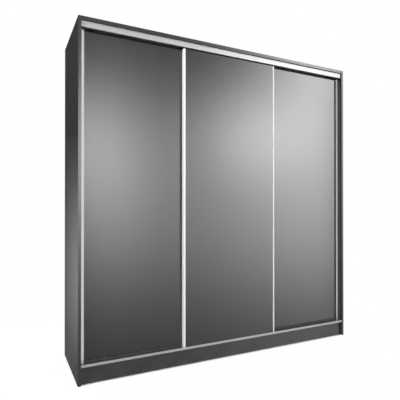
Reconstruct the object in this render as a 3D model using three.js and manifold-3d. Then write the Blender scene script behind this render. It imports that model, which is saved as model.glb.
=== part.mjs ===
// Sliding door wardrobe: a board carcass with three compartments, closed by three
// full-height doors that roll on two parallel aluminium tracks.
// Millimetres, +Z up. The front faces -Y. The origin is on the floor, at the middle of the footprint.

import * as THREE from 'three';
import { mergeVertices } from 'three/addons/utils/BufferGeometryUtils.js';
import Module from 'manifold-3d';

const wasm = await Module();
wasm.setup();

// ---- Driving dimensions ----

const WIDTH = 2100;
const DEPTH = 560;
const HEIGHT = 2160;

const BOARD = 18; // melamine board of the sides, floor, dividers and shelves
const TOP_BOARD = 22;
const SEAT = 0.3; // clearance left between two pieces that touch

const GLIDE_HEIGHT = 3;
const GLIDE_WIDTH = 16;
const GLIDE_LENGTH = 60;
const GLIDE_INSET = 60; // from the front or back edge of a side panel to the glide's middle

const PLINTH_CLEARANCE = 5; // air between the floor and the plinth boards
const PLINTH_HEIGHT = 102;
const PLINTH_RECESS = 20; // the front plinth stands this far behind the side panels' front edges
const REAR_PLINTH_INSET = 60;

const BACK_SHEET = 3;
const BACK_SHEET_INSET = 6; // from the side panels' back edges to the sheets' outer face
const REBATE = 8; // how far the rebate for the back sheets is cut into each side panel
const SHEET_JOINT = 1; // gap between two neighbouring back sheets

const DOOR_SIDE_GAP = 2; // between a closed outer door and its side panel
const DOOR_OVERLAP = 70; // how far the middle door laps over each outer door
const MIDDLE_DOOR_OFFSET = -10; // the closed middle door stands a little to the left of the middle
const DOOR_RECESS = 5.5; // from the side panels' front edges to the front lane's door face
const LANE_PITCH = 33.5; // from the front lane's door face to the rear lane's
const DOOR_BOTTOM = 113;
const FRONT_DOOR_TOP = 2089; // the front lane's door is shorter, because it runs below the fascia
const REAR_DOOR_TOP = 2097;
const DOOR_PANEL = 16;

const STILE_DEPTH = 30;
const MEETING_FACE = 12; // width that shows in front, on a stile where two doors meet
const CLOSING_FACE = 20; // the same on a stile that closes against a side panel
const STILE_FLANGE = 12; // width of the two flanges behind the door panel
const STILE_WALL = 1.6;
const STILE_CORNER = 3; // radius of the outer front corner

const RUNNER_DEPTH = 24; // from a door's face to the middle of its wheels and guide fins
const RUNNER_INSET = 62; // from a door's edge to the middle of a roller carriage or top guide

const WHEEL_TREAD = 12; // radius of the groove that rolls on the rail
const WHEEL_FLANGE = 14; // radius of the two flanges that straddle the rail
const WHEEL_WIDTH = 7;
const WHEEL_GROOVE = 3.5; // width of the tread at the bottom of the groove
const WHEEL_GROOVE_MOUTH = 5.2; // width of the groove at the flanges' rims
const AXLE_RADIUS = 2.5;

const CARRIAGE_WIDTH = 56;
const CARRIAGE_HEIGHT = 54;
const CARRIAGE_DEPTH = 12;
const CARRIAGE_CORNER = 6;
const WHEEL_SLOT_WIDTH = 33;
const WHEEL_SLOT_DEPTH = 8;

const SCREW_RADIUS = 2;
const SCREW_LENGTH = 40;
const SCREW_HEAD_RADIUS = 4;
const SCREW_HEAD_HEIGHT = 3.5;
const SCREW_SOCKET_RADIUS = 1.9;
const SCREW_SOCKET_DEPTH = 2;
const SCREW_OFFSET = 22; // from the wheel's middle towards the door's middle

const GUIDE_WIDTH = 40;
const GUIDE_BLOCK_HEIGHT = 44;
const GUIDE_FIN = 5;
const GUIDE_FIN_TOP = 2128;

const TRACK_PLATE = 2;
const RAIL_WIDTH = 2.5; // the rib that a wheel's groove rides on
const RAIL_HEIGHT = 4.5;
const BOTTOM_LIP_HEIGHT = 16.5;
const BOTTOM_LIP_GAP = 1.5; // between the front lip and the front lane's door
const BOTTOM_LIP_CHAMFER = 1.5; // cut off the lip's lower front edge
const TRACK_REAR_MARGIN = 8; // from the rear lane's door back to the tracks' rear edge

const FASCIA_BOTTOM = 2100.5;
const FASCIA_HEIGHT = 36;
const FASCIA_RECESS = 9; // behind the side panels' front edges
const FASCIA_PLATE = 2;
const FASCIA_BEAD = 5; // height of the raised bead along the fascia's top and bottom
const FASCIA_BEAD_RELIEF = 1.2;

const TOP_LIP_HEIGHT = 36;
const GUIDE_RIB_HEIGHT = 26;
const GUIDE_RIB_CLEARANCE = 0.8; // between a guide fin and the ribs on either side of it

const DIVIDER_SETBACK = 14; // from the rear lane's door back to the dividers
const SHELF_SETBACK = 10; // from the dividers' front edges to the shelves'
const SHELF_END_GAP = 0.5;
const HAT_SHELF_HEIGHT = 1818; // underside of the top shelf over each hanging space
const MIDDLE_SHELVES = 5;

const HANGING_RAIL_HEIGHT = 30;
const HANGING_RAIL_WIDTH = 15;
const HANGING_RAIL_WALL = 1.5;
const HANGING_RAIL_DROP = 58; // from the top shelf's underside to the rail's middle

// ---- Places worked out from them ----

const FRONT = -DEPTH / 2;
const BACK = DEPTH / 2;
const INNER = WIDTH / 2 - BOARD; // half of the clear width between the side panels
const FLOOR_TOP = PLINTH_CLEARANCE + PLINTH_HEIGHT;
const CEILING = HEIGHT - TOP_BOARD;
const SHEET_BACK = BACK - BACK_SHEET_INSET;
const SHEET_FRONT = SHEET_BACK - BACK_SHEET;
const BAY = (2 * INNER - 2 * BOARD) / 3; // clear width of one compartment
const DIVIDER_MIDDLE = BAY / 2 + BOARD / 2;

const DOOR_WIDTH = (2 * (INNER - DOOR_SIDE_GAP) + 2 * DOOR_OVERLAP) / 3;
const PANEL_FRONT = STILE_WALL + SEAT;
const PANEL_BACK = PANEL_FRONT + DOOR_PANEL;
const FRONT_LANE = FRONT + DOOR_RECESS;
const REAR_LANE = FRONT_LANE + LANE_PITCH;
const TRACK_FRONT = FRONT_LANE - BOTTOM_LIP_GAP - TRACK_PLATE;
const TRACK_BACK = REAR_LANE + STILE_DEPTH + TRACK_REAR_MARGIN;
const DIVIDER_FRONT = REAR_LANE + STILE_DEPTH + DIVIDER_SETBACK;
const SHELF_FRONT = DIVIDER_FRONT + SHELF_SETBACK;
const RUNNER_LINES = [FRONT_LANE + RUNNER_DEPTH, REAR_LANE + RUNNER_DEPTH];
const AXLE_HEIGHT = FLOOR_TOP + SEAT + RAIL_HEIGHT + SEAT + WHEEL_TREAD; // the tread rests on the rail


// ---- Materials ----

const graphiteBoard = () => new THREE.MeshStandardMaterial({ color: 0x303032, roughness: 0.34, metalness: 0 });
const graphiteGloss = () => new THREE.MeshStandardMaterial({ color: 0x303032, roughness: 0.24, metalness: 0 });
const hardboard = () => new THREE.MeshStandardMaterial({ color: 0x795d45, roughness: 0.7, metalness: 0 });
const aluminium = () => new THREE.MeshStandardMaterial({ color: 0xd6d7d9, roughness: 0.35, metalness: 1 });
const chrome = () => new THREE.MeshStandardMaterial({ color: 0xe4e5e6, roughness: 0.12, metalness: 1 });
const steel = () => new THREE.MeshStandardMaterial({ color: 0xb9babc, roughness: 0.4, metalness: 1 });
const blackPlastic = () => new THREE.MeshStandardMaterial({ color: 0x1c1c1e, roughness: 0.55, metalness: 0 });
const greyNylon = () => new THREE.MeshStandardMaterial({ color: 0x8c8d8f, roughness: 0.5, metalness: 0 });

// ---- Geometry helpers ----

const ALONG_X = new THREE.Matrix4().makeBasis(
  new THREE.Vector3(0, 1, 0),
  new THREE.Vector3(0, 0, 1),
  new THREE.Vector3(1, 0, 0),
);
const ALONG_Y = new THREE.Matrix4().makeBasis(
  new THREE.Vector3(1, 0, 0),
  new THREE.Vector3(0, 0, -1),
  new THREE.Vector3(0, 1, 0),
);
const ROUND_STEPS = 6; // straight steps in a quarter circle

function mesh(name, geometry, material) {
  const part = new THREE.Mesh(geometry, material);
  part.name = name;
  return part;
}

// A box between two corners.
function block(low, high) {
  const size = high.map((value, axis) => value - low[axis]);
  const middle = high.map((value, axis) => (value + low[axis]) / 2);
  return new THREE.BoxGeometry(...size).translate(...middle);
}

// A closed outline swept straight up from z = bottom.
function prism(outline, bottom, length, holes = []) {
  const shape = new THREE.Shape(outline);
  shape.holes = holes.map((hole) => new THREE.Path(hole));
  const settings = { depth: length, bevelEnabled: false, steps: 1 };
  return new THREE.ExtrudeGeometry(shape, settings).translate(0, 0, bottom);
}

// An outline drawn in Y and Z, swept along X from start to end.
function sweepX(outline, start, end, holes = []) {
  return prism(outline, start, end - start, holes).applyMatrix4(ALONG_X);
}

function point(x, y) {
  return new THREE.Vector2(x, y);
}

// Points of an arc about (x, y), both ends included.
function arc(x, y, radius, from, to, steps = ROUND_STEPS) {
  const points = [];
  for (let i = 0; i <= steps; i += 1) {
    const angle = from + ((to - from) * i) / steps;
    points.push(point(x + radius * Math.cos(angle), y + radius * Math.sin(angle)));
  }
  return points;
}

// A rectangle with two half-round ends, longer along its second axis.
function stadium(width, length, x = 0, y = 0) {
  const radius = width / 2;
  const reach = length / 2 - radius;
  return [
    ...arc(x, y + reach, radius, 0, Math.PI, 2 * ROUND_STEPS),
    ...arc(x, y - reach, radius, Math.PI, 2 * Math.PI, 2 * ROUND_STEPS),
  ];
}

function cylinderAlongY(radius, length, x, y, z) {
  return new THREE.CylinderGeometry(radius, radius, length, 4 * ROUND_STEPS).translate(x, y, z);
}

function cylinderAlongZ(radius, length, x, y, z, sides = 4 * ROUND_STEPS) {
  return new THREE.CylinderGeometry(radius, radius, length, sides).rotateX(Math.PI / 2).translate(x, y, z);
}

function toSolid(geometry) {
  const bare = geometry.index ? geometry.clone() : geometry;
  bare.deleteAttribute('normal');
  bare.deleteAttribute('uv');
  const merged = mergeVertices(bare);
  const vertProperties = new Float32Array(merged.attributes.position.array);
  const triVerts = new Uint32Array(merged.index.array);
  return new wasm.Manifold(new wasm.Mesh({ numProp: 3, vertProperties, triVerts }));
}

function toGeometry(solid) {
  const result = solid.getMesh();
  const geometry = new THREE.BufferGeometry();
  geometry.setAttribute('position', new THREE.BufferAttribute(new Float32Array(result.vertProperties), 3));
  geometry.setIndex(new THREE.BufferAttribute(new Uint32Array(result.triVerts), 1));
  geometry.computeVertexNormals();
  return geometry;
}

// ---- Carcass ----

// A side panel, rebated along its inner back edge for the back sheet. side is -1 for left, +1 for right.
function sidePanel(side) {
  const outer = WIDTH / 2;
  const outline = [
    point(outer, FRONT),
    point(outer, BACK),
    point(INNER + REBATE, BACK),
    point(INNER + REBATE, SHEET_FRONT - SEAT),
    point(INNER, SHEET_FRONT - SEAT),
    point(INNER, FRONT),
  ];
  const placed = outline.map((corner) => point(side * corner.x, corner.y));
  return prism(placed, GLIDE_HEIGHT, HEIGHT - GLIDE_HEIGHT);
}

function glide(side, end) {
  const x = side * (WIDTH / 2 - BOARD / 2);
  const y = end * (DEPTH / 2 - GLIDE_INSET);
  return prism(stadium(GLIDE_WIDTH, GLIDE_LENGTH, x, y), 0, GLIDE_HEIGHT - SEAT);
}

// A board across the whole inside of the carcass.
function crossBoard(front, back, bottom, top) {
  return block([-INNER + SEAT, front, bottom], [INNER - SEAT, back, top]);
}

function divider(side) {
  const middle = side * DIVIDER_MIDDLE;
  const low = [middle - BOARD / 2, DIVIDER_FRONT, FLOOR_TOP + SEAT];
  const high = [middle + BOARD / 2, SHEET_FRONT - SEAT, CEILING - SEAT];
  return block(low, high);
}

function backSheet(left, right) {
  const bottom = FLOOR_TOP - BOARD;
  return block([left, SHEET_FRONT, bottom], [right, SHEET_BACK, HEIGHT - BACK_SHEET]);
}

function shelf(left, right, bottom) {
  const low = [left + SHELF_END_GAP, SHELF_FRONT, bottom];
  const high = [right - SHELF_END_GAP, SHEET_FRONT - SHELF_END_GAP, bottom + BOARD];
  return block(low, high);
}

// An oval tube for hangers, drawn as one outline with its bore as a hole.
function hangingRail(left, right) {
  const y = (SHELF_FRONT + SHEET_FRONT) / 2;
  const z = HAT_SHELF_HEIGHT - HANGING_RAIL_DROP;
  const outside = stadium(HANGING_RAIL_WIDTH, HANGING_RAIL_HEIGHT, y, z);
  const thinner = 2 * HANGING_RAIL_WALL;
  const bore = stadium(HANGING_RAIL_WIDTH - thinner, HANGING_RAIL_HEIGHT - thinner, y, z);
  return sweepX(outside, left + SHELF_END_GAP, right - SHELF_END_GAP, [bore]);
}

// ---- Tracks ----

// The section of a flat plate with teeth standing on one side of it. The plate runs from front to back
// in Y at z = base. direction is +1 for teeth that stand up and -1 for teeth that hang down.
function combOutline(front, back, base, direction, teeth) {
  const points = [point(front, base), point(back, base)];
  const plate = base + direction * TRACK_PLATE;
  for (const tooth of [...teeth].reverse()) {
    const tip = base + direction * tooth.height;
    points.push(point(tooth.to, plate), point(tooth.to, tip), point(tooth.from, tip), point(tooth.from, plate));
  }
  const isCorner = (corner) => !((corner.x === front || corner.x === back) && corner.y === plate);
  return points.filter(isCorner);
}

// The two rails that carry the wheels, with a tall lip in front that shows as a thin bright line.
function bottomTrack() {
  const base = FLOOR_TOP + SEAT;
  const rails = RUNNER_LINES.map((line) => (
    { from: line - RAIL_WIDTH / 2, to: line + RAIL_WIDTH / 2, height: RAIL_HEIGHT }
  ));
  const teeth = [
    { from: TRACK_FRONT, to: TRACK_FRONT + TRACK_PLATE, height: BOTTOM_LIP_HEIGHT },
    ...rails,
    { from: TRACK_BACK - TRACK_PLATE, to: TRACK_BACK, height: RAIL_HEIGHT },
  ];
  const [, ...rest] = combOutline(TRACK_FRONT, TRACK_BACK, base, 1, teeth);
  const chamfer = [point(TRACK_FRONT, base + BOTTOM_LIP_CHAMFER), point(TRACK_FRONT + BOTTOM_LIP_CHAMFER, base)];
  return sweepX([...chamfer, ...rest], -INNER + SEAT, INNER - SEAT);
}

// Hangs under the top panel. Each lane has two ribs, and a door's guide fins slide between them.
function topTrack() {
  const front = FRONT + FASCIA_RECESS + FASCIA_BEAD_RELIEF + FASCIA_PLATE + SEAT;
  const reach = GUIDE_FIN / 2 + GUIDE_RIB_CLEARANCE;
  const ribs = RUNNER_LINES.flatMap((line) => [
    { from: line - reach - TRACK_PLATE, to: line - reach, height: GUIDE_RIB_HEIGHT },
    { from: line + reach, to: line + reach + TRACK_PLATE, height: GUIDE_RIB_HEIGHT },
  ]);
  const teeth = [
    { from: front, to: front + TRACK_PLATE, height: TOP_LIP_HEIGHT },
    ...ribs,
    { from: TRACK_BACK - TRACK_PLATE, to: TRACK_BACK, height: TOP_LIP_HEIGHT },
  ];
  const outline = combOutline(front, TRACK_BACK, CEILING - SEAT, -1, teeth);
  return sweepX(outline, -INNER + SEAT, INNER - SEAT);
}

// The wide cover in front of the top track: a plate with a raised bead along each long edge.
function topFascia() {
  const face = FRONT + FASCIA_RECESS;
  const plate = face + FASCIA_BEAD_RELIEF;
  const top = FASCIA_BOTTOM + FASCIA_HEIGHT;
  const outline = [
    point(plate + FASCIA_PLATE, FASCIA_BOTTOM),
    point(plate + FASCIA_PLATE, top),
    point(face, top),
    point(face, top - FASCIA_BEAD),
    point(plate, top - FASCIA_BEAD),
    point(plate, FASCIA_BOTTOM + FASCIA_BEAD),
    point(face, FASCIA_BOTTOM + FASCIA_BEAD),
    point(face, FASCIA_BOTTOM),
  ];
  return sweepX(outline, -INNER + SEAT, INNER - SEAT);
}

// ---- Doors: x runs from the door's left edge, y from its front face, z from the floor ----

function doorPanel(top) {
  return block(
    [STILE_WALL + SEAT, PANEL_FRONT, DOOR_BOTTOM],
    [DOOR_WIDTH - STILE_WALL - SEAT, PANEL_BACK, top],
  );
}

// An edge profile: a wall round the door's edge, with one flange on the panel's face, one on its back
// and a third at the profile's back. side is -1 for the left edge and +1 for the right.
function stile(side, face, top) {
  const middle = PANEL_BACK + SEAT;
  const rear = STILE_DEPTH - STILE_WALL;
  const outline = [
    ...arc(STILE_CORNER, STILE_CORNER, STILE_CORNER, Math.PI, 1.5 * Math.PI),
    point(face, 0),
    point(face, STILE_WALL),
    point(STILE_WALL, STILE_WALL),
    point(STILE_WALL, middle),
    point(STILE_FLANGE, middle),
    point(STILE_FLANGE, middle + STILE_WALL),
    point(STILE_WALL, middle + STILE_WALL),
    point(STILE_WALL, rear),
    point(STILE_FLANGE, rear),
    point(STILE_FLANGE, STILE_DEPTH),
    point(0, STILE_DEPTH),
  ];
  const placed = side < 0 ? outline : outline.map((corner) => point(DOOR_WIDTH - corner.x, corner.y));
  return prism(placed, DOOR_BOTTOM, top - DOOR_BOTTOM);
}

// The housing screwed to the panel's back. It has a slot for the wheel, a fixed axle across the slot
// and a bore for the height screw.
function rollerCarriage(x, screwX) {
  const half = CARRIAGE_WIDTH / 2;
  const bend = CARRIAGE_CORNER;
  const outline = [
    point(-half, 0),
    point(half, 0),
    ...arc(half - bend, CARRIAGE_HEIGHT - bend, bend, 0, Math.PI / 2),
    ...arc(bend - half, CARRIAGE_HEIGHT - bend, bend, Math.PI / 2, Math.PI),
  ];
  const flipped = outline.map((corner) => point(corner.x, -corner.y));
  const body = prism(flipped, 0, CARRIAGE_DEPTH).applyMatrix4(ALONG_Y);
  body.translate(x, PANEL_BACK + SEAT, DOOR_BOTTOM);

  const slotFront = RUNNER_DEPTH - WHEEL_SLOT_DEPTH / 2;
  const slotTop = AXLE_HEIGHT + WHEEL_SLOT_WIDTH / 2;
  const slot = block(
    [x - WHEEL_SLOT_WIDTH / 2, slotFront, DOOR_BOTTOM - BOARD],
    [x + WHEEL_SLOT_WIDTH / 2, slotFront + WHEEL_SLOT_DEPTH, slotTop],
  );
  const axle = cylinderAlongY(AXLE_RADIUS, WHEEL_SLOT_DEPTH + 1, x, RUNNER_DEPTH, AXLE_HEIGHT);
  const boreMiddle = DOOR_BOTTOM + CARRIAGE_HEIGHT / 2;
  const bore = cylinderAlongZ(SCREW_RADIUS + SEAT, 2 * CARRIAGE_HEIGHT, screwX, RUNNER_DEPTH, boreMiddle);
  const solid = toSolid(body).subtract(toSolid(slot)).subtract(toSolid(bore)).add(toSolid(axle));
  return toGeometry(solid);
}

// A grooved nylon wheel, turned about its own axle at the origin.
function wheel() {
  const half = WHEEL_WIDTH / 2;
  const bore = AXLE_RADIUS + SEAT;
  const profile = [
    point(bore, -half),
    point(WHEEL_FLANGE, -half),
    point(WHEEL_FLANGE, -WHEEL_GROOVE_MOUTH / 2),
    point(WHEEL_TREAD, -WHEEL_GROOVE / 2),
    point(WHEEL_TREAD, WHEEL_GROOVE / 2),
    point(WHEEL_FLANGE, WHEEL_GROOVE_MOUTH / 2),
    point(WHEEL_FLANGE, half),
    point(bore, half),
    point(bore, -half),
  ];
  return new THREE.LatheGeometry(profile, 6 * ROUND_STEPS);
}

// A round-headed screw with a hexagon socket, standing on the carriage with its head up.
function heightScrew(x) {
  const headBottom = DOOR_BOTTOM + CARRIAGE_HEIGHT + SEAT;
  const headTop = headBottom + SCREW_HEAD_HEIGHT;
  const chamfer = SCREW_HEAD_HEIGHT / 4;
  const profile = [
    point(0, headBottom - SCREW_LENGTH),
    point(SCREW_RADIUS, headBottom - SCREW_LENGTH),
    point(SCREW_RADIUS, headBottom),
    point(SCREW_HEAD_RADIUS, headBottom),
    point(SCREW_HEAD_RADIUS, headTop - chamfer),
    point(SCREW_HEAD_RADIUS - chamfer, headTop),
    point(0, headTop),
  ];
  const turned = new THREE.LatheGeometry(profile, 4 * ROUND_STEPS).rotateX(Math.PI / 2);
  const socket = cylinderAlongZ(SCREW_SOCKET_RADIUS, 2 * SCREW_SOCKET_DEPTH, 0, 0, headTop, 6);
  const solid = toSolid(turned).subtract(toSolid(socket));
  return toGeometry(solid).translate(x, RUNNER_DEPTH, 0);
}

// A block on the panel's back with a fin that runs between two ribs of the top track.
function topGuide(x, doorTop) {
  const blockBack = PANEL_BACK + SEAT + CARRIAGE_DEPTH;
  const outline = [
    point(PANEL_BACK + SEAT, doorTop - GUIDE_BLOCK_HEIGHT),
    point(blockBack, doorTop - GUIDE_BLOCK_HEIGHT),
    point(blockBack, doorTop),
    point(RUNNER_DEPTH + GUIDE_FIN / 2, doorTop),
    point(RUNNER_DEPTH + GUIDE_FIN / 2, GUIDE_FIN_TOP),
    point(RUNNER_DEPTH - GUIDE_FIN / 2, GUIDE_FIN_TOP),
    point(RUNNER_DEPTH - GUIDE_FIN / 2, doorTop),
    point(PANEL_BACK + SEAT, doorTop),
  ];
  return sweepX(outline, x - GUIDE_WIDTH / 2, x + GUIDE_WIDTH / 2);
}

function door(name, left, front, top, faces) {
  const group = new THREE.Group();
  group.position.set(left, front, 0);
  group.add(
    mesh(`door_${name}_panel`, doorPanel(top), graphiteGloss()),
    mesh(`door_${name}_stile_left`, stile(-1, faces[0], top), aluminium()),
    mesh(`door_${name}_stile_right`, stile(1, faces[1], top), aluminium()),
  );
  for (const [end, x, inward] of [['left', RUNNER_INSET, 1], ['right', DOOR_WIDTH - RUNNER_INSET, -1]]) {
    const screwX = x + inward * SCREW_OFFSET;
    const rolling = mesh(`door_${name}_wheel_${end}`, wheel(), greyNylon());
    rolling.position.set(x, RUNNER_DEPTH, AXLE_HEIGHT);
    group.add(
      mesh(`door_${name}_roller_carriage_${end}`, rollerCarriage(x, screwX), blackPlastic()),
      rolling,
      mesh(`door_${name}_height_screw_${end}`, heightScrew(screwX), steel()),
      mesh(`door_${name}_top_guide_${end}`, topGuide(x, top), blackPlastic()),
    );
  }
  return group;
}

// ---- Assembly ----

const wardrobe = new THREE.Group();

for (const [side, sign] of [['left', -1], ['right', 1]]) {
  wardrobe.add(
    mesh(`side_panel_${side}`, sidePanel(sign), graphiteBoard()),
    mesh(`divider_${side}`, divider(sign), graphiteBoard()),
    mesh(`glide_front_${side}`, glide(sign, -1), blackPlastic()),
    mesh(`glide_rear_${side}`, glide(sign, 1), blackPlastic()),
  );
}

const plinthFront = FRONT + PLINTH_RECESS;
const rearPlinth = BACK - REAR_PLINTH_INSET;
const floorUnderside = FLOOR_TOP - BOARD;
const boardBack = SHEET_FRONT - SEAT;
const plinthBack = plinthFront + BOARD;
wardrobe.add(
  mesh('top_panel', crossBoard(FRONT, boardBack, CEILING, HEIGHT), graphiteBoard()),
  mesh('bottom_panel', crossBoard(plinthBack + SEAT, boardBack, floorUnderside, FLOOR_TOP), graphiteBoard()),
  mesh('plinth_front', crossBoard(plinthFront, plinthBack, PLINTH_CLEARANCE, FLOOR_TOP), graphiteBoard()),
  mesh(
    'plinth_rear',
    crossBoard(rearPlinth - BOARD, rearPlinth, PLINTH_CLEARANCE, floorUnderside - SEAT),
    graphiteBoard(),
  ),
);

const sheetEdge = INNER + REBATE - SEAT;
const sheetSeam = DIVIDER_MIDDLE + SHEET_JOINT / 2;
wardrobe.add(
  mesh('back_sheet_left', backSheet(-sheetEdge, -sheetSeam), hardboard()),
  mesh('back_sheet_middle', backSheet(SHEET_JOINT - sheetSeam, sheetSeam - SHEET_JOINT), hardboard()),
  mesh('back_sheet_right', backSheet(sheetSeam, sheetEdge), hardboard()),
);

const bayInner = DIVIDER_MIDDLE + BOARD / 2;
wardrobe.add(
  mesh('shelf_left', shelf(-INNER, -bayInner, HAT_SHELF_HEIGHT), graphiteBoard()),
  mesh('shelf_right', shelf(bayInner, INNER, HAT_SHELF_HEIGHT), graphiteBoard()),
  mesh('hanging_rail_left', hangingRail(-INNER, -bayInner), chrome()),
  mesh('hanging_rail_right', hangingRail(bayInner, INNER), chrome()),
);

const shelfPitch = (CEILING - FLOOR_TOP + BOARD) / (MIDDLE_SHELVES + 1);
for (let i = 1; i <= MIDDLE_SHELVES; i += 1) {
  const bottom = FLOOR_TOP + i * shelfPitch - BOARD;
  wardrobe.add(mesh(`shelf_middle_${i}`, shelf(-BAY / 2, BAY / 2, bottom), graphiteBoard()));
}

wardrobe.add(
  mesh('top_track', topTrack(), aluminium()),
  mesh('top_fascia', topFascia(), aluminium()),
  mesh('bottom_track', bottomTrack(), aluminium()),
);

const closedLeft = DOOR_SIDE_GAP - INNER;
const middleLeft = MIDDLE_DOOR_OFFSET - DOOR_WIDTH / 2;
wardrobe.add(
  door('left', closedLeft, REAR_LANE, REAR_DOOR_TOP, [CLOSING_FACE, MEETING_FACE]),
  door('middle', middleLeft, FRONT_LANE, FRONT_DOOR_TOP, [MEETING_FACE, MEETING_FACE]),
  door('right', -closedLeft - DOOR_WIDTH, REAR_LANE, REAR_DOOR_TOP, [MEETING_FACE, CLOSING_FACE]),
);

export default wardrobe;
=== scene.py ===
"""Looks of the sliding door wardrobe: finishes for its CAD nodes, small fittings, studio and camera."""

import math

import bmesh
import bpy
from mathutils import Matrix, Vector


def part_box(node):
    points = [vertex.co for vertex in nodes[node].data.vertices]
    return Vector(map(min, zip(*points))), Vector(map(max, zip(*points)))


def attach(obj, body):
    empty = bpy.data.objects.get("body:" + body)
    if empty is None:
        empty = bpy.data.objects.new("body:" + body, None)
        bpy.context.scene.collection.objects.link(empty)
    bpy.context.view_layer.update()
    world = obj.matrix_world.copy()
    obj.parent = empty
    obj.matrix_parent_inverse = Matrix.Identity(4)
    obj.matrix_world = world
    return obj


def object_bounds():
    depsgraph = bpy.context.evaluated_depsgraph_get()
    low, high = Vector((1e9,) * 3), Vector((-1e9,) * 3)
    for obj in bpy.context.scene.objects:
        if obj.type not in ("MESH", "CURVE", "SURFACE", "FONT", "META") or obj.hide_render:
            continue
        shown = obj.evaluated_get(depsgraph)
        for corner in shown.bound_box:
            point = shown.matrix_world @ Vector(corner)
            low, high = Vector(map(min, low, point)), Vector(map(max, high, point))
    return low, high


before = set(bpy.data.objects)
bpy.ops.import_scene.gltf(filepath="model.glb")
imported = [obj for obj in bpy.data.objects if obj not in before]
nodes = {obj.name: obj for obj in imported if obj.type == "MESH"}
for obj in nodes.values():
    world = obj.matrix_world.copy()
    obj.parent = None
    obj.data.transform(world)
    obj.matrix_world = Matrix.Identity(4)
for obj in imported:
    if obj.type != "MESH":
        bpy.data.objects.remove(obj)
cad_low, cad_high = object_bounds()
scene = bpy.context.scene

MM = 0.001
SHARP_ANGLE = math.radians(30)
SIDES = ("left", "right")
DOORS = ("left", "middle", "right")

# ---- Places read from the frame ----


def low(node):
    """The corner of a CAD node's box with the smallest x, y and z."""
    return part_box(node)[0]


def high(node):
    """The corner of a CAD node's box with the largest x, y and z."""
    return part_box(node)[1]


def middle(node):
    """The middle of a CAD node's box."""
    return (low(node) + high(node)) / 2


inner_left = high("side_panel_left").x
inner_right = low("side_panel_right").x
floor_top = high("bottom_panel").z
ceiling = low("top_panel").z
front_lane = low("door_middle_stile_left").y
rear_lane = low("door_left_stile_left").y

# ---- Node helpers ----


def add_node(tree, kind, values=None, **settings):
    """A new node. settings are its own properties, and values are its inputs by name or place."""
    node = tree.nodes.new(kind)
    for name, value in settings.items():
        setattr(node, name, value)
    for name, value in (values or {}).items():
        node.inputs[name].default_value = value
    return node


def math_node(tree, operation, a, b=None, clamp=False):
    """A Math node whose inputs are sockets or numbers. Returns its output."""
    node = add_node(tree, "ShaderNodeMath", operation=operation, use_clamp=clamp)
    for place, value in enumerate((a, b)):
        if isinstance(value, bpy.types.NodeSocket):
            tree.links.new(value, node.inputs[place])
        elif value is not None:
            node.inputs[place].default_value = value
    return node.outputs[0]


def position(tree, stretch=(1, 1, 1)):
    """The place on the object in metres, scaled by stretch."""
    place = add_node(tree, "ShaderNodeTexCoord")
    mapping = add_node(tree, "ShaderNodeMapping", {"Scale": stretch})
    tree.links.new(place.outputs["Object"], mapping.inputs["Vector"])
    return mapping.outputs["Vector"]


def split(tree, vector):
    """The X, Y and Z of a vector, as sockets by name."""
    parts = add_node(tree, "ShaderNodeSeparateXYZ")
    tree.links.new(vector, parts.inputs["Vector"])
    return parts.outputs


def place_on_object(tree):
    """The X, Y and Z of the place on the object in metres, as sockets by name."""
    place = add_node(tree, "ShaderNodeTexCoord")
    return split(tree, place.outputs["Object"])


def facing(tree):
    """The X, Y and Z of the direction that the surface faces, as sockets by name."""
    geometry = add_node(tree, "ShaderNodeNewGeometry")
    return split(tree, geometry.outputs["Normal"])


def noise(tree, vector, scale, detail=3, roughness=0.5):
    """A noise value from 0 to 1, with scale in features per metre."""
    node = add_node(
        tree, "ShaderNodeTexNoise", {"Scale": scale, "Detail": detail, "Roughness": roughness}
    )
    tree.links.new(vector, node.inputs["Vector"])
    return node.outputs["Fac"]


def remap(tree, value, start, end, to_start, to_end):
    """value taken from the range start..end to the range to_start..to_end, held at its ends."""
    node = add_node(
        tree,
        "ShaderNodeMapRange",
        {"From Min": start, "From Max": end, "To Min": to_start, "To Max": to_end},
    )
    tree.links.new(value, node.inputs["Value"])
    return node.outputs["Result"]


def mix_colour(tree, factor, first, second):
    """first where factor is 0 and second where it is 1. Each is a colour or a socket."""
    node = add_node(tree, "ShaderNodeMix", data_type="RGBA")
    tree.links.new(factor, node.inputs["Factor"])
    for name, colour in (("A", first), ("B", second)):
        socket = next(s for s in node.inputs if s.name == name and s.type == "RGBA")
        if isinstance(colour, bpy.types.NodeSocket):
            tree.links.new(colour, socket)
        else:
            socket.default_value = (*colour, 1)
    return next(s for s in node.outputs if s.type == "RGBA")


def bump(tree, height, depth, strength):
    """A normal from height, where 1 stands depth metres above 0."""
    node = add_node(tree, "ShaderNodeBump", {"Distance": depth, "Strength": strength})
    tree.links.new(height, node.inputs["Height"])
    return node.outputs["Normal"]


def new_material(name, colour, roughness, metallic=0.0):
    """An empty finish. Returns the material, its node tree and its shader."""
    material = bpy.data.materials.new(name)
    material.use_nodes = True
    material.diffuse_color = (*colour, 1)
    tree = material.node_tree
    shader = tree.nodes["Principled BSDF"]
    shader.inputs["Base Color"].default_value = (*colour, 1)
    shader.inputs["Roughness"].default_value = roughness
    shader.inputs["Metallic"].default_value = metallic
    return material, tree, shader


def finish(tree, shader, colour, roughness, normal):
    """Links the three sockets that every finish works out to its shader."""
    tree.links.new(colour, shader.inputs["Base Color"])
    tree.links.new(roughness, shader.inputs["Roughness"])
    tree.links.new(normal, shader.inputs["Normal"])


# ---- Finishes ----

GRAPHITE = (0.01, 0.0101, 0.0108)
GRAPHITE_LIGHT = (0.013, 0.0131, 0.0139)
# A dusty grey: dust near the floor, and painted light on the feet of the outer doors.
DUST_AND_PAINTED_LIGHT = (0.085, 0.083, 0.079)


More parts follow.
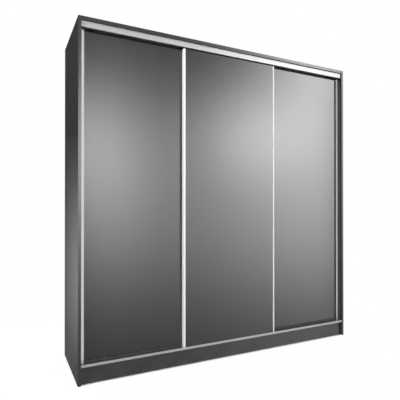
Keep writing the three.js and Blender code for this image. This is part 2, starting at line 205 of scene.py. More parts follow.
def dust_near_floor(tree, vector, colour):
    """A faint film of dust that thins out over the lowest 15 cm. Returns the colour and the film."""
    height = remap(tree, split(tree, vector)["Z"], 0.0, 0.15, 0.5, 0.0)
    patches = remap(tree, noise(tree, vector, 14), 0.35, 0.75, 0.1, 0.45)
    film = math_node(tree, "MULTIPLY", height, patches)
    return mix_colour(tree, film, colour, DUST_AND_PAINTED_LIGHT), film


def dust_and_painted_light_behind_lip(tree, vector, colour):
    """A light grey film on the feet of the outer doors, just above the bottom track's lip in front of
    them: partly dust, partly painted light that lightens the dark band where the doors reflect the back
    of the lip.

    Returns the colour and the film.
    """
    place = split(tree, vector)
    lip_top = high("bottom_track").z
    height = remap(tree, place["Z"], lip_top + 5 * MM, lip_top + 13 * MM, 1.0, 0.0)
    behind = remap(tree, place["Y"], front_lane + 8 * MM, rear_lane - 8 * MM, 0.0, 1.0)
    patches = remap(tree, noise(tree, vector, 25), 0.3, 0.7, 0.35, 0.5)
    film = math_node(tree, "MULTIPLY", math_node(tree, "MULTIPLY", height, behind), patches)
    return mix_colour(tree, film, colour, DUST_AND_PAINTED_LIGHT), film


def board_finish():
    """Satin melamine board: a fine pearl texture, faint clouding and wiped patches."""
    material, tree, shader = new_material("graphite_board", GRAPHITE, 0.18)
    place = position(tree)
    clouds = remap(tree, noise(tree, place, 22, 4, 0.6), 0.3, 0.7, 0, 1)
    grey = mix_colour(tree, clouds, GRAPHITE, GRAPHITE_LIGHT)
    colour, film = dust_near_floor(tree, place, grey)
    wiped = remap(tree, noise(tree, place, 5, 3), 0.3, 0.7, 0.165, 0.195)
    rough = math_node(tree, "ADD", wiped, math_node(tree, "MULTIPLY", film, 0.5), clamp=True)
    pearl = noise(tree, place, 950, 2)
    finish(tree, shader, colour, rough, bump(tree, pearl, 0.012 * MM, 0.5))
    shader.inputs["Specular IOR Level"].default_value = 1.0
    return material


def gloss_finish():
    """Semi-gloss lacquer of the doors: orange peel, wipe marks and a little clouding."""
    material, tree, shader = new_material("graphite_gloss", GRAPHITE, 0.13)
    place = position(tree)
    clouds = remap(tree, noise(tree, place, 12, 4, 0.6), 0.3, 0.7, 0, 1)
    grey = mix_colour(tree, clouds, GRAPHITE, GRAPHITE_LIGHT)
    dusty, film = dust_near_floor(tree, place, grey)
    # Partly dust and partly painted light: lightens the feet of the outer doors where they reflect the
    # dark back of the lip.
    colour, settled_dust_and_painted_light = dust_and_painted_light_behind_lip(tree, place, dusty)
    film = math_node(tree, "ADD", film, settled_dust_and_painted_light)
    wipes = noise(tree, position(tree, (6, 6, 1)), 3, 3)
    smears = noise(tree, place, 9, 4, 0.65)
    both = math_node(tree, "ADD", wipes, smears)
    rough = remap(tree, both, 0.75, 1.25, 0.12, 0.14)
    rough = math_node(tree, "ADD", rough, math_node(tree, "MULTIPLY", film, 0.5), clamp=True)
    peel = noise(tree, place, 190, 2)
    finish(tree, shader, colour, rough, bump(tree, peel, 0.006 * MM, 0.4))
    shader.inputs["Specular IOR Level"].default_value = 1.0
    return material


def hardboard_finish():
    """Thin hardboard: bare brown fibre on its outer face, dark melamine on the face inside."""
    fibre, fibre_dark = (0.2, 0.115, 0.062), (0.135, 0.074, 0.038)
    material, tree, shader = new_material("back_board", fibre, 0.7)
    place = position(tree)
    fibres = noise(tree, position(tree, (1, 1, 0.35)), 420, 4, 0.7)
    blotches = noise(tree, place, 9, 5, 0.6)
    mottled = math_node(tree, "MULTIPLY", fibres, math_node(tree, "ADD", blotches, 0.5))
    brown = mix_colour(tree, remap(tree, mottled, 0.3, 0.7, 0, 1), fibre_dark, fibre)
    inside = math_node(tree, "LESS_THAN", facing(tree)["Y"], -0.5)
    colour = mix_colour(tree, inside, brown, GRAPHITE)
    rough = remap(tree, inside, 0, 1, 0.72, 0.42)
    finish(tree, shader, colour, rough, bump(tree, fibres, 0.12 * MM, 0.6))
    return material


def metal_finish(name, colour, darker, roughness, along, streaks=900, depth=0.01, metallic=1.0):
    """Drawn or brushed metal whose fine lines run along one axis. depth is in millimetres."""
    material, tree, shader = new_material(name, colour, roughness, metallic)
    stretch = tuple(0.012 if axis == along else 1 for axis in "xyz")
    lines = noise(tree, position(tree, stretch), streaks, 4, 0.7)
    clouds = noise(tree, position(tree), 18, 3)
    mixed = math_node(tree, "ADD", lines, math_node(tree, "MULTIPLY", clouds, 0.5))
    tone = remap(tree, mixed, 0.45, 1.05, 0, 1)
    rough = remap(tree, mixed, 0.45, 1.05, roughness + 0.05, roughness - 0.04)
    normal = bump(tree, lines, depth * MM, 0.6)
    finish(tree, shader, mix_colour(tree, tone, darker, colour), rough, normal)
    return material


def zinc_finish():
    """Zinc plated steel, slightly mottled."""
    material, tree, shader = new_material("zinc_steel", (0.6, 0.6, 0.59), 0.36, 1.0)
    place = position(tree)
    cells = add_node(tree, "ShaderNodeTexVoronoi", {"Scale": 420.0})
    tree.links.new(place, cells.inputs["Vector"])
    grain = remap(tree, cells.outputs["Distance"], 0, 1, 0, 1)
    colour = mix_colour(tree, grain, (0.63, 0.63, 0.62), (0.47, 0.47, 0.47))
    rough = remap(tree, noise(tree, place, 160, 3), 0.3, 0.7, 0.3, 0.45)
    finish(tree, shader, colour, rough, bump(tree, grain, 0.02 * MM, 0.4))
    return material


def moulded_finish(name, colour, lighter, roughness, texture=1300, depth=0.06):
    """Moulded plastic or rubber with a fine matt texture. depth is in millimetres."""
    material, tree, shader = new_material(name, colour, roughness)
    place = position(tree)
    tone = remap(tree, noise(tree, place, 60, 4, 0.6), 0.3, 0.75, 0, 1)
    rough = remap(tree, noise(tree, place, 35, 3), 0.3, 0.7, roughness - 0.06, roughness + 0.08)
    grain = noise(tree, place, texture, 2)
    normal = bump(tree, grain, depth * MM, 0.6)
    finish(tree, shader, mix_colour(tree, tone, colour, lighter), rough, normal)
    return material


def pile_finish():
    """Brush pile: fine dark fibres that stand out along Y."""
    material, tree, shader = new_material("brush_pile", (0.016, 0.016, 0.017), 0.9)
    strands = noise(tree, position(tree, (1, 0.05, 1)), 1500, 3, 0.7)
    colour = mix_colour(
        tree, remap(tree, strands, 0.3, 0.7, 0, 1), (0.006, 0.006, 0.006), (0.035, 0.035, 0.037)
    )
    rough = remap(tree, strands, 0.3, 0.7, 0.95, 0.8)
    finish(tree, shader, colour, rough, bump(tree, strands, 0.4 * MM, 1.0))
    shader.inputs["Sheen Weight"].default_value = 0.3
    return material


STILE_METAL = (0.64, 0.642, 0.648)
STILE_METAL_DARK = (0.59, 0.592, 0.597)
TRACK_METAL = (0.42, 0.422, 0.428)
TRACK_METAL_DARK = (0.38, 0.382, 0.387)
CHROME = (0.88, 0.885, 0.89)
CHROME_DARK = (0.82, 0.825, 0.83)

board_look = board_finish()
gloss_look = gloss_finish()
hardboard_look = hardboard_finish()
stile_look = metal_finish("aluminium_upright", STILE_METAL, STILE_METAL_DARK, 0.42, "z", metallic=0.2)
track_look = metal_finish("aluminium_level", TRACK_METAL, TRACK_METAL_DARK, 0.3, "x", metallic=0.6)
chrome_look = metal_finish("chrome", CHROME, CHROME_DARK, 0.1, "x", streaks=300, depth=0.003)
zinc_look = zinc_finish()
plastic_look = moulded_finish("black_plastic", (0.013, 0.013, 0.0135), (0.02, 0.02, 0.021), 0.5)
rubber_look = moulded_finish("rubber", (0.008, 0.008, 0.0085), (0.014, 0.014, 0.0145), 0.68, 700)
nylon_look = moulded_finish("nylon", (0.33, 0.332, 0.335), (0.4, 0.4, 0.4), 0.42, 900, 0.04)
pile_look = pile_finish()

# ---- Finishing the CAD nodes ----


def edge_shading_group():
    """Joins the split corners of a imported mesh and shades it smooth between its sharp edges."""
    tree = bpy.data.node_groups.new("edge_shading", "GeometryNodeTree")
    tree.interface.new_socket("Geometry", in_out="INPUT", socket_type="NodeSocketGeometry")
    tree.interface.new_socket("Geometry", in_out="OUTPUT", socket_type="NodeSocketGeometry")
    start = add_node(tree, "NodeGroupInput")
    plain = add_node(tree, "GeometryNodeRemoveAttribute", {"Name": "custom_normal"})
    joined = add_node(tree, "GeometryNodeMergeByDistance", {"Distance": 0.01 * MM})
    smooth = add_node(tree, "GeometryNodeSetShadeSmooth")
    angle = add_node(tree, "GeometryNodeInputMeshEdgeAngle")
    is_sharp = add_node(tree, "FunctionNodeCompare", {"B": SHARP_ANGLE}, operation="GREATER_THAN")
    sharp = add_node(tree, "GeometryNodeSetShadeSmooth", {"Shade Smooth": False}, domain="EDGE")
    end = add_node(tree, "NodeGroupOutput")
    tree.links.new(start.outputs[0], plain.inputs["Geometry"])
    tree.links.new(plain.outputs[0], joined.inputs["Geometry"])
    tree.links.new(joined.outputs[0], smooth.inputs["Geometry"])
    tree.links.new(angle.outputs["Unsigned Angle"], is_sharp.inputs["A"])
    tree.links.new(smooth.outputs[0], sharp.inputs["Geometry"])
    tree.links.new(is_sharp.outputs["Result"], sharp.inputs["Selection"])
    tree.links.new(sharp.outputs[0], end.inputs[0])
    return tree


edge_shading = edge_shading_group()


def round_edges(piece, radius):
    """Rounds every sharp edge of a piece by radius."""
    rounding = piece.modifiers.new("rounded_edges", "BEVEL")
    rounding.width = radius
    rounding.segments = 2
    rounding.limit_method = "ANGLE"
    rounding.angle_limit = SHARP_ANGLE


def finish_node(name, look, radius):
    """Gives a CAD node its finish and softens its edges."""
    node = nodes[name]
    node.data.materials.clear()
    node.data.materials.append(look)
    node.modifiers.new("edge_shading", "NODES").node_group = edge_shading
    round_edges(node, radius)


def look_of_node(name):
    """The finish of a CAD node and the radius of its edges."""
    if name.endswith("_panel") and name.startswith("door_"):
        return gloss_look, 0.6 * MM
    if name.startswith("back_sheet"):
        return hardboard_look, 0.3 * MM
    if "_stile_" in name:
        return stile_look, 0.3 * MM
    if name in ("top_track", "bottom_track", "top_fascia"):
        return track_look, 0.3 * MM
    if name.startswith("hanging_rail"):
        return chrome_look, 0.3 * MM
    if "_height_screw_" in name:
        return zinc_look, 0.15 * MM
    if "_wheel_" in name:
        return nylon_look, 0.25 * MM
    if "_roller_carriage_" in name or "_top_guide_" in name:
        return plastic_look, 0.5 * MM
    if name.startswith("glide_"):
        return plastic_look, 0.8 * MM
    return board_look, 0.9 * MM


for node_name in sorted(nodes):
    finish_node(node_name, *look_of_node(node_name))

# ---- Helpers for new pieces ----


def new_piece(name, shape, look, body):
    """Makes an object of a bmesh in the row frame and lets it ride on a body."""
    bmesh.ops.recalc_face_normals(shape, faces=shape.faces)
    data = bpy.data.meshes.new(name)
    shape.to_mesh(data)
    shape.free()
    data.materials.append(look)
    data.shade_smooth()
    data.set_sharp_from_angle(angle=SHARP_ANGLE)
    piece = bpy.data.objects.new(name, data)
    scene.collection.objects.link(piece)
    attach(piece, body)
    return piece


def turned(shape, profile, centre, along, across, sides):
    """Adds a closed turned form: profile lists (radius, distance along the axis), from axis to axis."""
    centre, along, across = Vector(centre), Vector(along), Vector(across)
    third = along.cross(across)
    rings = []
    for radius, distance in profile:
        at = centre + along * distance
        if radius == 0:
            rings.append([shape.verts.new(at)])
            continue
        ring = []
        for step in range(sides):
            angle = 2 * math.pi * step / sides
            reach = across * math.cos(angle) + third * math.sin(angle)
            ring.append(shape.verts.new(at + reach * radius))
        rings.append(ring)
    for first, second in zip(rings, rings[1:]):
        for step in range(sides):
            corners = [first[step % len(first)], first[(step + 1) % len(first)]]
            corners += [second[(step + 1) % len(second)], second[step % len(second)]]
            shape.faces.new(list(dict.fromkeys(corners)))


def slab(shape, corner, opposite):
    """Adds a box between two corners."""
    made = bmesh.ops.create_cube(shape, size=1)["verts"]
    size = Vector(opposite) - Vector(corner)
    centre = (Vector(opposite) + Vector(corner)) / 2
    for vert in made:
        vert.co = centre + Vector(a * b for a, b in zip(vert.co, size))


def prism(shape, outline, start, end):
    """Adds an outline of (x, y) points raised in Z from start to end."""
    bottom = [shape.verts.new((x, y, start)) for x, y in outline]
    top = [shape.verts.new((x, y, end)) for x, y in outline]
    shape.faces.new(bottom)
    shape.faces.new(top)
    for step in range(len(outline)):
        after = (step + 1) % len(outline)
        shape.faces.new((bottom[step], bottom[after], top[after], top[step]))


def screw_head(shape, at, outward, radius, height):
    """Adds a domed screw head with a cross-shaped recess, drawn as a sunk cone in its middle."""
    across = Vector((0, 0, 1)) if abs(outward[2]) < 0.5 else Vector((1, 0, 0))
    profile = [
        (0, -0.2 * height),
        (radius, -0.2 * height),
        (radius, 0.25 * height),
        (0.86 * radius, 0.62 * height),
        (0.6 * radius, 0.9 * height),
        (0.42 * radius, height),
        (0.34 * radius, 0.75 * height),
        (0.12 * radius, 0.1 * height),
        (0, 0.05 * height),
    ]
    turned(shape, profile, at, outward, across, 16)


# ---- Fittings on the doors ----

CAP_THICKNESS = 0.6 * MM
PILE_BASE = 0.8 * MM
PILE_WIDTH = 4.5 * MM
PILE_TUFTS = 240


def rounded_front(left, right, front, back, radius, side):
    """A rectangle whose outer front corner is rounded, as a stile's is."""
    points = []
    for step in range(5):
        angle = math.pi / 2 * step / 4
        reach = radius * (1 - math.cos(angle))
        depth = radius * (1 - math.sin(angle))
        points.append((reach, depth))
    if side == "left":
        corner = [(left + x, front + y) for x, y in points]
        return corner + [(right, front), (right, back), (left, back)]
    corner = [(right - x, front + y) for x, y in points]
    return corner + [(left, front), (left, back), (right, back)]


def stile_caps():
    """A thin plastic cap on both ends of each stile."""
    corner = 3 * MM
    for door in DOORS:
        for side in SIDES:
            stile = f"door_{door}_stile_{side}"
            start, end = low(stile), high(stile)
            for place, below, above in (
                ("bottom", start.z - CAP_THICKNESS, start.z),
                ("top", end.z, end.z + CAP_THICKNESS),
            ):
                shape = bmesh.new()
                outline = rounded_front(start.x, end.x, start.y, end.y, corner, side)
                prism(shape, outline, below, above)
                cap = new_piece(
                    f"{stile}_cap_{place}", shape, plastic_look, f"door_{door}"
                )
                round_edges(cap, 0.2 * MM)


def add_tuft(shape, root, tip, near, far):
    """A tapered block from the rectangle root at y = near to the rectangle tip at y = far."""
    rings = []
    for (x0, z0), (x1, z1), y in ((*root, near), (*tip, far)):
        corners = ((x0, z0), (x1, z0), (x1, z1), (x0, z1))
        rings.append([shape.verts.new((x, y, z)) for x, z in corners])
    shape.faces.new(rings[0])
    shape.faces.new(rings[1])
    for step in range(4):
        after = (step + 1) % 4
        shape.faces.new((rings[0][step], rings[0][after], rings[1][after], rings[1][step]))


def pile_strip(name, door, x, y, start, end, reach):
    """A brush seal: a flat backing with a ragged row of tufts that reach back along Y."""
    shape = bmesh.new()
    half = PILE_WIDTH / 2
    slab(shape, (x - half, y, start), (x + half, y + PILE_BASE, end))
    pitch = (end - start) / PILE_TUFTS
    for tuft in range(PILE_TUFTS):
        bottom = start + tuft * pitch
        sway = math.sin(tuft * 2.4) * 0.25 * MM
        length = reach - abs(math.sin(tuft * 1.7)) * 0.5 * MM
        root = [(x - half * 0.7, bottom), (x + half * 0.7, bottom + pitch * 0.97)]
        tip_low, tip_high = bottom + pitch * 0.2, bottom + pitch * 0.8
        tip = [(x - half * 0.35 + sway, tip_low), (x + half * 0.35 + sway, tip_high)]
        add_tuft(shape, root, tip, y + PILE_BASE * 0.9, y + length)
    new_piece(name, shape, pile_look, f"door_{door}")


def door_seals():
    """Brush seals on the back of the middle door's stiles, where it laps over the outer doors."""
    gap = rear_lane - high("door_middle_stile_left").y
    for side in SIDES:
        stile = f"door_middle_stile_{side}"
        pile_strip(
            f"{stile}_seal",
            "middle",
            middle(stile).x,
            high(stile).y,
            low(stile).z + 4 * MM,
            high(stile).z - 4 * MM,
            gap - 0.7 * MM,
        )


def fitting_screws():
    """Two screw heads on the back of each roller carriage and each top guide."""
    for door in DOORS:
        for side in SIDES:
            for fitting, spread, height in (("roller_carriage", 20, 40), ("top_guide", 11, 14)):
                name = f"door_{door}_{fitting}_{side}"
                shape = bmesh.new()
                for way in (-1, 1):
                    x = middle(name).x + way * spread * MM
                    z = low(name).z + height * MM
                    screw_head(shape, (x, high(name).y, z), (0, 1, 0), 3.6 * MM, 1.5 * MM)
                new_piece(f"{name}_screws", shape, zinc_look, f"door_{door}")


# ---- Fittings on the carcass ----


def fascia_shade_strip():
    """A dark strip with a rubber finish in the slot between the fascia and the top panel, painted shade
    standing in for the shadow in that slot.
    """
    fascia_top = high("top_fascia").z
    front = low("top_fascia").y + 1.5 * MM
    shape = bmesh.new()
    slab(
        shape,
        (low("top_fascia").x, front, fascia_top + 0.2 * MM),
        (high("top_fascia").x, high("top_fascia").y, ceiling - 0.2 * MM),
    )
    # Painted shade: a dark piece filling a slot that would otherwise only be in shadow.
    strip = new_piece("fascia_shade_strip", shape, rubber_look, "carcass")
    round_edges(strip, 0.3 * MM)


def oval(width, height, grow, steps=10):
    """Points (y, z) of an upright oval with round ends, grown outwards by grow."""
    radius = width / 2 + grow
    straight = height / 2 - width / 2
    points = []
    for end in (1, -1):
        for step in range(steps + 1):
            angle = math.pi * step / steps + (0 if end > 0 else math.pi)
            points.append((radius * math.cos(angle), end * straight + radius * math.sin(angle)))
    return points


# A rail socket starts this far past the rail's end, just clear of the board.
SOCKET_START = 0.4 * MM
SOCKET_FLANGE = 2.8 * MM
# Its section in millimetres: distance off the rail's surface, then distance from its start.
SOCKET_SECTION = (
    (0.15, 0),
    (11, 0),
    (11, 2),
    (9.6, 2.8),
    (2.6, 2.8),
    (2.2, 4),
    (2.2, 13),
    (1.6, 13.8),
    (0.6, 13.8),
    (0.15, 13),
)


def socket_rings(shape, rail, start, way):
    """One ring round the rail for each point of the socket's section."""
    size = high(rail) - low(rail)
    at = middle(rail)
    rings = []
    for grow, reach in SOCKET_SECTION:
        ring = []
        for y, z in oval(size.y, size.z, grow * MM):
            ring.append(shape.verts.new((start + way * reach * MM, at.y + y, at.z + z)))
        rings.append(ring)
    return rings


def add_socket_screws(shape, rail, face, way):
    """Adds a screw head above the rail and one below it, on the socket's flange."""
    at = middle(rail)
    from_middle = (high(rail).z - low(rail).z) / 2 + 6.6 * MM
    for up in (-1, 1):
        screw_head(shape, (face, at.y, at.z + up * from_middle), (way, 0, 0), 3.2 * MM, 1.6 * MM)


def join_rings(shape, rings):
    """Closes a loop of equal rings into one ring-shaped solid."""
    count = len(rings[0])
    for first, second in zip(rings, rings[1:] + rings[:1]):
        for step in range(count):
            after = (step + 1) % count
            shape.faces.new((first[step], first[after], second[after], second[step]))


def rail_sockets():
    """A flanged cup round each end of both hanging rails, with two screws through its flange."""
    for side in SIDES:
        rail = f"hanging_rail_{side}"
        for end, face, way in (("left", low(rail).x, 1), ("right", high(rail).x, -1)):
            start = face - way * SOCKET_START
            shape = bmesh.new()
            join_rings(shape, socket_rings(shape, rail, start, way))
            new_piece(f"{rail}_socket_{end}", shape, chrome_look, "carcass")
            heads = bmesh.new()
            add_socket_screws(heads, rail, start + way * SOCKET_FLANGE, way)
            new_piece(f"{rail}_socket_{end}_screws", heads, zinc_look, "carcass")


def track_screws():
    """A row of screws along the middle of each track, between the two lanes."""
    count = 7
    web = 2 * MM
    line = (low("door_left_wheel_left").y + high("door_middle_wheel_left").y) / 2
    for track, z, way in (
        ("bottom_track", low("bottom_track").z + web, 1),
        ("top_track", high("top_track").z - web, -1),
    ):
        length = high(track).x - low(track).x
        shape = bmesh.new()
        for step in range(count):
            x = low(track).x + length * (step + 0.5) / count
            screw_head(shape, (x, line, z), (0, 0, way), 4 * MM, 1.8 * MM)
        new_piece(f"{track}_screws", shape, zinc_look, "carcass")


def buffers():
    """Rubber pads on the side panels, where the edges of the outer doors come to rest."""
    pad = [(0, 0), (6, 0), (6, 0.5), (5, 1.1), (3, 1.45), (0, 1.55)]
    profile = [(radius * MM, reach * MM) for radius, reach in pad]
    for side, wall, way in (("left", inner_left, 1), ("right", inner_right, -1)):
        shape = bmesh.new()
        behind_middle = 3 * MM
        y = middle(f"door_{side}_stile_{side}").y + behind_middle
        for share in (0.15, 0.85):
            z = floor_top + (ceiling - floor_top) * share
            turned(shape, profile, (wall, y, z), (way, 0, 0), (0, 0, 1), 24)
        new_piece(f"buffers_{side}", shape, rubber_look, "carcass")


def shelf_pins():
    """Four steel pins under each shelf of the middle compartment and each top shelf."""
    shelves = [f"shelf_middle_{number}" for number in range(1, 6)] + ["shelf_left", "shelf_right"]
    from_edge = 45 * MM
    beside = 0.5 * MM
    below = 4.3 * MM
    pin = [(0, 0), (4.2, 0), (4.2, 1.2), (2.5, 1.6), (2.5, 9), (1.9, 9.6), (0, 9.6)]
    profile = [(radius * MM, reach * MM) for radius, reach in pin]
    for shelf in shelves:
        start, end = low(shelf), high(shelf)
        shape = bmesh.new()
        for wall, way in ((start.x - beside, 1), (end.x + beside, -1)):
            for y in (start.y + from_edge, end.y - from_edge):
                at = (wall, y, start.z - below)
                turned(shape, profile, at, (way, 0, 0), (0, 0, 1), 16)
        new_piece(f"{shelf}_pins", shape, zinc_look, "carcass")


def nail(shape, x, z):
    """A flat nail head on the outer face of a back sheet."""
    profile = [(0, -0.1), (2.1, -0.1), (2.1, 0.25), (1.5, 0.45), (0, 0.5)]
    sized = [(radius * MM, reach * MM) for radius, reach in profile]
    back = high("back_sheet_left").y
    turned(shape, sized, (x, back, z), (0, 1, 0), (0, 0, 1), 12)


def back_nails():
    """Nails round the edges of the three back sheets and into the top shelves."""
    edge = 7 * MM
    pitch = 0.15
    for sheet in ("left", "middle", "right"):
        name = f"back_sheet_{sheet}"
        start, end = low(name), high(name)
        shape = bmesh.new()
        across = round((end.x - start.x) / pitch)
        upward = round((end.z - start.z) / pitch)
        rows = [start.z + edge, end.z - edge, middle("shelf_left").z]
        for z in rows:
            for step in range(across + 1):
                nail(shape, start.x + edge + (end.x - start.x - 2 * edge) * step / across, z)
        for x in (start.x + edge, end.x - edge):
            for step in range(1, upward):
                nail(shape, x, start.z + edge + (end.z - start.z - 2 * edge) * step / upward)
        new_piece(f"{name}_nails", shape, zinc_look, "carcass")


def connector_caps():
    """Round caps over the cam fittings, on the boards that the uprights are drawn against."""
    profile = [(0, 0), (7.5, 0), (7.5, 0.6), (6.6, 1.1), (0, 1.2)]
    sized = [(radius * MM, reach * MM) for radius, reach in profile]
    shape = bmesh.new()
    faces_of_uprights = (
        (inner_left, 1),
        (low("divider_left").x, -1),
        (high("divider_left").x, 1),
        (low("divider_right").x, -1),
        (high("divider_right").x, 1),
        (inner_right, -1),
    )
    inset = 34 * MM
    from_edge = 60 * MM
    for wall, way in faces_of_uprights:
        for y in (low("shelf_left").y + from_edge, high("shelf_left").y - from_edge):
            turned(shape, sized, (wall + way * inset, y, ceiling), (0, 0, -1), (1, 0, 0), 24)
            turned(shape, sized, (wall + way * inset, y, floor_top), (0, 0, 1), (1, 0, 0), 24)
    new_piece("connector_caps", shape, plastic_look, "carcass")


stile_caps()
door_seals()
fitting_screws()
fascia_shade_strip()
rail_sockets()
track_screws()
buffers()
shelf_pins()
back_nails()
connector_caps()

# ---- Studio ----

# Soft lamps round the wardrobe: azimuth from its front towards its right, height above the horizon,
# half width and half height, all in degrees, then strength.
LAMPS = (
    (10, 10, 6.5, 6.0, 3.2),
    (35, 11, 6.0, 5.0, 3.8),
    (13, 1, 5.0, 8.5, 2.2),
    (44, 1, 16.5, 10.0, 3.5),
    (45, 28, 5.5, 13.0, 6.6),
    (30, 5, 60, 45, 0.22),
    (-80, 8, 22, 22, 4.5),
    (115, 12, 22, 20, 1.5),
)
# A dark screen, which keeps the front edge of the right side panel darker than the doors. Its last
# value is the share of the light that it takes away.
SCREEN = (54.3, -1, 7.5, 40, 1.0)
SCREEN_SHARPNESS = 4.0
STUDIO_LEVEL = 0.05
# Fill lights: place and diameter in metres, then power in watts.
FILL_LIGHTS = {
    "fill_left": ((-2.6, -1.0, 2.5), 1.2, 60),
    "fill_front": ((-1.5, -5.0, 3.5), 3.0, 30),
    "fill_top": ((0.0, 0.5, 5.0), 4.0, 160),
    "fill_back_left": ((-3.5, 4.5, 2.6), 3.0, 160),
    "fill_back_right": ((3.5, 4.5, 2.6), 3.0, 160),
}
# The soft box: size, then how far left of the wardrobe, how far behind it and how high its middle is.
SOFT_BOX_WIDTH = 0.9
SOFT_BOX_HEIGHT = 3.0
SOFT_BOX_BESIDE = 0.74
SOFT_BOX_BEHIND = 1.72
SOFT_BOX_MIDDLE = 0.35
SOFT_BOX_SPREAD = 0.75
SOFT_BOX_STRENGTH = 0.6


def lamp_glow(tree, azimuth, elevation, lamp, sharpness=1.0):
    """The light of one lamp in a direction: an oval, whose edge is soft where sharpness is low."""
    at, height, wide, tall, strength = lamp
    total = None
    for angle, centre, size in ((azimuth, at, wide), (elevation, height, tall)):
        away = math_node(tree, "SUBTRACT", angle, math.radians(centre))
        share = math_node(tree, "DIVIDE", away, math.radians(size))
        square = math_node(tree, "MULTIPLY", share, share)
        total = square if total is None else math_node(tree, "ADD", total, square)
    shaped = math_node(tree, "POWER", total, sharpness)
    falloff = math_node(tree, "EXPONENT", math_node(tree, "MULTIPLY", shaped, -0.5))
    return math_node(tree, "MULTIPLY", falloff, strength)


def studio_world():
    """White to the camera. To everything else it is a dim studio with soft lamps."""
    world = bpy.data.worlds.new("studio")
    scene.world = world
    world.use_nodes = True
    tree = world.node_tree
    coordinates = add_node(tree, "ShaderNodeTexCoord")
    direction = split(tree, coordinates.outputs["Generated"])
    forward = math_node(tree, "MULTIPLY", direction["Y"], -1.0)
    azimuth = math_node(tree, "ARCTAN2", direction["X"], forward)
    elevation = math_node(tree, "ARCSINE", direction["Z"])
    light = None
    for lamp in LAMPS:
        glow = lamp_glow(tree, azimuth, elevation, lamp)
        light = math_node(tree, "ADD", STUDIO_LEVEL if light is None else light, glow)
    shade = lamp_glow(tree, azimuth, elevation, SCREEN, SCREEN_SHARPNESS)
    light = math_node(tree, "MULTIPLY", light, math_node(tree, "SUBTRACT", 1.0, shade))
    path = add_node(tree, "ShaderNodeLightPath")
    seen = add_node(tree, "ShaderNodeMix", {"B": 1.0}, data_type="FLOAT")
    tree.links.new(path.outputs["Is Camera Ray"], seen.inputs["Factor"])
    tree.links.new(light, seen.inputs["A"])
    tree.links.new(seen.outputs["Result"], tree.nodes["Background"].inputs["Strength"])
    tree.nodes["Background"].inputs["Color"].default_value = (1, 1, 1, 1)


def soft_light(name, place, size, power):
    """A large light that fills in the matt surfaces, without a reflection of its own."""
    data = bpy.data.lights.new(name, "AREA")
    data.shape = "DISK"
    data.size = size
    data.energy = power
    light = bpy.data.objects.new(name, data)
    scene.collection.objects.link(light)
    light.location = place
    aim = Vector((0, 0, 1)) - Vector(place)
    light.rotation_euler = aim.to_track_quat("-Z", "Y").to_euler()
    light.visible_glossy = False
    light.visible_camera = False


def soft_box():
    """A glowing screen behind the left side, reflected in the side panel and brightest low down."""
    shape = bmesh.new()
    half_width, half_height = SOFT_BOX_WIDTH / 2, SOFT_BOX_HEIGHT / 2
    slab(shape, (-half_width, -10 * MM, -half_height), (half_width, 0, half_height))
    data = bpy.data.meshes.new("soft_box")
    shape.to_mesh(data)
    shape.free()
    box = bpy.data.objects.new("soft_box", data)
    scene.collection.objects.link(box)
    box.location = (cad_low.x - SOFT_BOX_BESIDE, cad_high.y + SOFT_BOX_BEHIND, SOFT_BOX_MIDDLE)
    box.visible_camera = False
    box.visible_diffuse = False
    box.visible_shadow = False
    material = bpy.data.materials.new("soft_box")
    material.use_nodes = True
    tree = material.node_tree
    off = math_node(tree, "DIVIDE", place_on_object(tree)["Z"], SOFT_BOX_SPREAD)
    square = math_node(tree, "MULTIPLY", off, off)
    falloff = math_node(tree, "EXPONENT", math_node(tree, "MULTIPLY", square, -0.5))
    glow = add_node(tree, "ShaderNodeEmission")
    tree.links.new(math_node(tree, "MULTIPLY", falloff, SOFT_BOX_STRENGTH), glow.inputs["Strength"])
    tree.links.new(glow.outputs[0], tree.nodes["Material Output"].inputs["Surface"])
    data.materials.append(material)


def distance_from_footprint(tree):
    """How far a point of the floor lies outside the plinth's rectangle, below 0 inside it."""
    place = place_on_object(tree)
    beside = math_node(tree, "ADD", math_node(tree, "ABSOLUTE", place["X"]), cad_low.x)
    before = math_node(tree, "ADD", math_node(tree, "ABSOLUTE", place["Y"]), low("plinth_front").y)
    return math_node(tree, "MAXIMUM", beside, before)


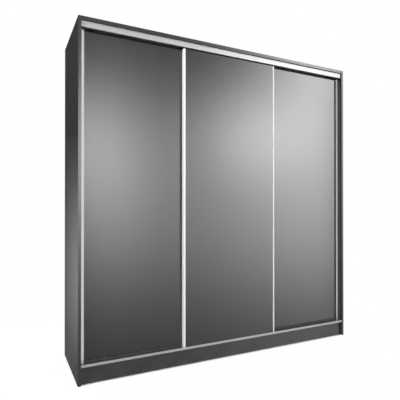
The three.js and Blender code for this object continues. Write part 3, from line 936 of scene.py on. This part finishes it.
def floor():
    """A plain, nearly white floor that is in shadow under the wardrobe, with a painted shadow at the
    edge, where its glow fades out towards the plinth.
    """
    shape = bmesh.new()
    bmesh.ops.create_grid(shape, x_segments=1, y_segments=1, size=30)
    data = bpy.data.meshes.new("studio_floor")
    shape.to_mesh(data)
    shape.free()
    surface = bpy.data.objects.new("studio_floor", data)
    scene.collection.objects.link(surface)
    surface.visible_glossy = False
    material = bpy.data.materials.new("studio_floor")
    material.use_nodes = True
    tree = material.node_tree
    shader = tree.nodes["Principled BSDF"]
    shader.inputs["Base Color"].default_value = (0.86, 0.86, 0.86, 1)
    shader.inputs["Roughness"].default_value = 0.9
    shader.inputs["Specular IOR Level"].default_value = 0.1
    glow = add_node(tree, "ShaderNodeEmission", {"Strength": 1.0})
    beyond = distance_from_footprint(tree)
    # Painted shadow: the glow that whitens the floor for the camera fades out over the last 15 mm
    # towards the plinth.
    near = remap(tree, beyond, 0.0, 15 * MM, 0.0, 0.95)
    far = remap(tree, beyond, 0.02, 1.0, 0.0, 0.05)
    path = add_node(tree, "ShaderNodeLightPath")
    white = math_node(tree, "ADD", near, far)
    share = math_node(tree, "MULTIPLY", path.outputs["Is Camera Ray"], white)
    both = add_node(tree, "ShaderNodeMixShader")
    tree.links.new(share, both.inputs[0])
    tree.links.new(shader.outputs[0], both.inputs[1])
    tree.links.new(glow.outputs[0], both.inputs[2])
    tree.links.new(both.outputs[0], tree.nodes["Material Output"].inputs["Surface"])
    data.materials.append(material)


studio_world()
floor()
soft_box()
for light_name, settings in FILL_LIGHTS.items():
    soft_light(light_name, *settings)
scene.view_settings.view_transform = "Standard"

# ---- Camera ----


def camera():
    """A nearly level camera to the left of the wardrobe, a little under its middle."""
    data = bpy.data.cameras.new("camera")
    data.sensor_width = 36
    data.lens = 35.17
    data.shift_y = 0.0159
    data.clip_end = 200
    eye = bpy.data.objects.new("camera", data)
    scene.collection.objects.link(eye)
    beside, before, height = 0.3777, 2.3388, 1.0376
    eye.location = (cad_low.x - beside, cad_low.y - before, height)
    eye.rotation_euler = (math.radians(90.255), 0, -math.radians(26.51))
    scene.camera = eye


camera()
